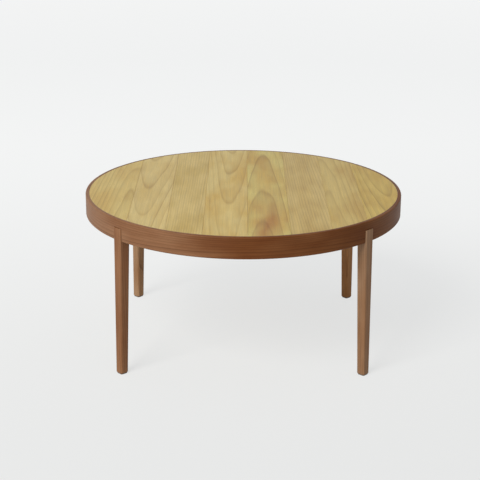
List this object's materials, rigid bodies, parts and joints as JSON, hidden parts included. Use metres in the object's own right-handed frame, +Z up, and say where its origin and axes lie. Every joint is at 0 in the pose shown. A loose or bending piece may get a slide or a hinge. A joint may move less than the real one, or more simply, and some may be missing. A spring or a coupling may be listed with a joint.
{
  "type": "folding low table",
  "caption": "Round low table with a plank top in a bent brown rim, on slim tapered legs that each fold inwards under the top on a pin through the rim.",
  "frame": {"origin": "on the floor under the middle of the round top, legs open", "axes": "+Z up, -Y the front, +X to the right; the planks run along Y"},
  "size_m": [0.6998, 0.7, 0.345],
  "materials": {
    "top_wood": "planed planks, satin clear lacquer",
    "rim_wood": "brown stained bent strip, satin lacquer",
    "leg_wood": "brown stained, satin lacquer",
    "ring_wood": "sawn and sanded, stained, no lacquer",
    "batten_wood": "planed, stained, no lacquer",
    "pin_steel": "drawn bright steel",
    "spring_steel": "blued spring steel strip",
    "screw_steel": "yellow zinc plated",
    "brass": "turned",
    "felt": "pressed felt"
  },
  "bodies": {
    "tabletop": {"batten_back": "batten_wood", "batten_front": "batten_wood", "batten_screws": "screw_steel", "catch_screws": "screw_steel", "catch_spring_back_left": "spring_steel", "catch_spring_back_right": "spring_steel", "catch_spring_front_left": "spring_steel", "catch_spring_front_right": "spring_steel", "leg_stop_back_left": "leg_wood", "leg_stop_back_right": "leg_wood", "leg_stop_front_left": "leg_wood", "leg_stop_front_right": "leg_wood", "pivot_pin_back_left": "pin_steel", "pivot_pin_back_right": "pin_steel", "pivot_pin_front_left": "pin_steel", "pivot_pin_front_right": "pin_steel", "rim_hoop_back": "rim_wood", "rim_hoop_front": "rim_wood", "ring_back_left": "ring_wood", "ring_back_right": "ring_wood", "ring_front_left": "ring_wood", "ring_front_right": "ring_wood", "ring_left_back": "ring_wood", "ring_left_front": "ring_wood", "ring_right_back": "ring_wood", "ring_right_front": "ring_wood", "ring_screws": "screw_steel", "ring_splines": "ring_wood", "top_plank_1": "top_wood", "top_plank_2": "top_wood", "top_plank_3": "top_wood", "top_plank_4": "top_wood", "top_plank_5": "top_wood", "top_plank_6": "top_wood", "top_plank_7": "top_wood", "top_plank_8": "top_wood"},
    "leg_back_right": {"leg_back_right": "leg_wood", "leg_bush_back_right": "brass", "foot_pad_back_right": "felt"},
    "leg_back_left": {"leg_back_left": "leg_wood", "leg_bush_back_left": "brass", "foot_pad_back_left": "felt"},
    "leg_front_left": {"leg_front_left": "leg_wood", "leg_bush_front_left": "brass", "foot_pad_front_left": "felt"},
    "leg_front_right": {"leg_front_right": "leg_wood", "leg_bush_front_right": "brass", "foot_pad_front_right": "felt"}
  },
  "joints": [
    {"name": "leg_back_right_fold", "type": "hinge", "parent": "tabletop", "child": "leg_back_right", "pos_m": [0.24895, 0.22416, 0.313], "axis": [-0.6691, 0.7431, 0], "range_deg": [0, 91.5], "deforming": ["catch_spring_back_right"]},
    {"name": "leg_back_left_fold", "type": "hinge", "parent": "tabletop", "child": "leg_back_left", "pos_m": [-0.24895, 0.22416, 0.313], "axis": [-0.6691, -0.7431, 0], "range_deg": [0, 91.5], "deforming": ["catch_spring_back_left"]},
    {"name": "leg_front_left_fold", "type": "hinge", "parent": "tabletop", "child": "leg_front_left", "pos_m": [-0.24895, -0.22416, 0.313], "axis": [0.6691, -0.7431, 0], "range_deg": [0, 91.5], "deforming": ["catch_spring_front_left"]},
    {"name": "leg_front_right_fold", "type": "hinge", "parent": "tabletop", "child": "leg_front_right", "pos_m": [0.24895, -0.22416, 0.313], "axis": [0.6691, 0.7431, 0], "range_deg": [0, 91.5], "deforming": ["catch_spring_front_right"]}
  ]
}
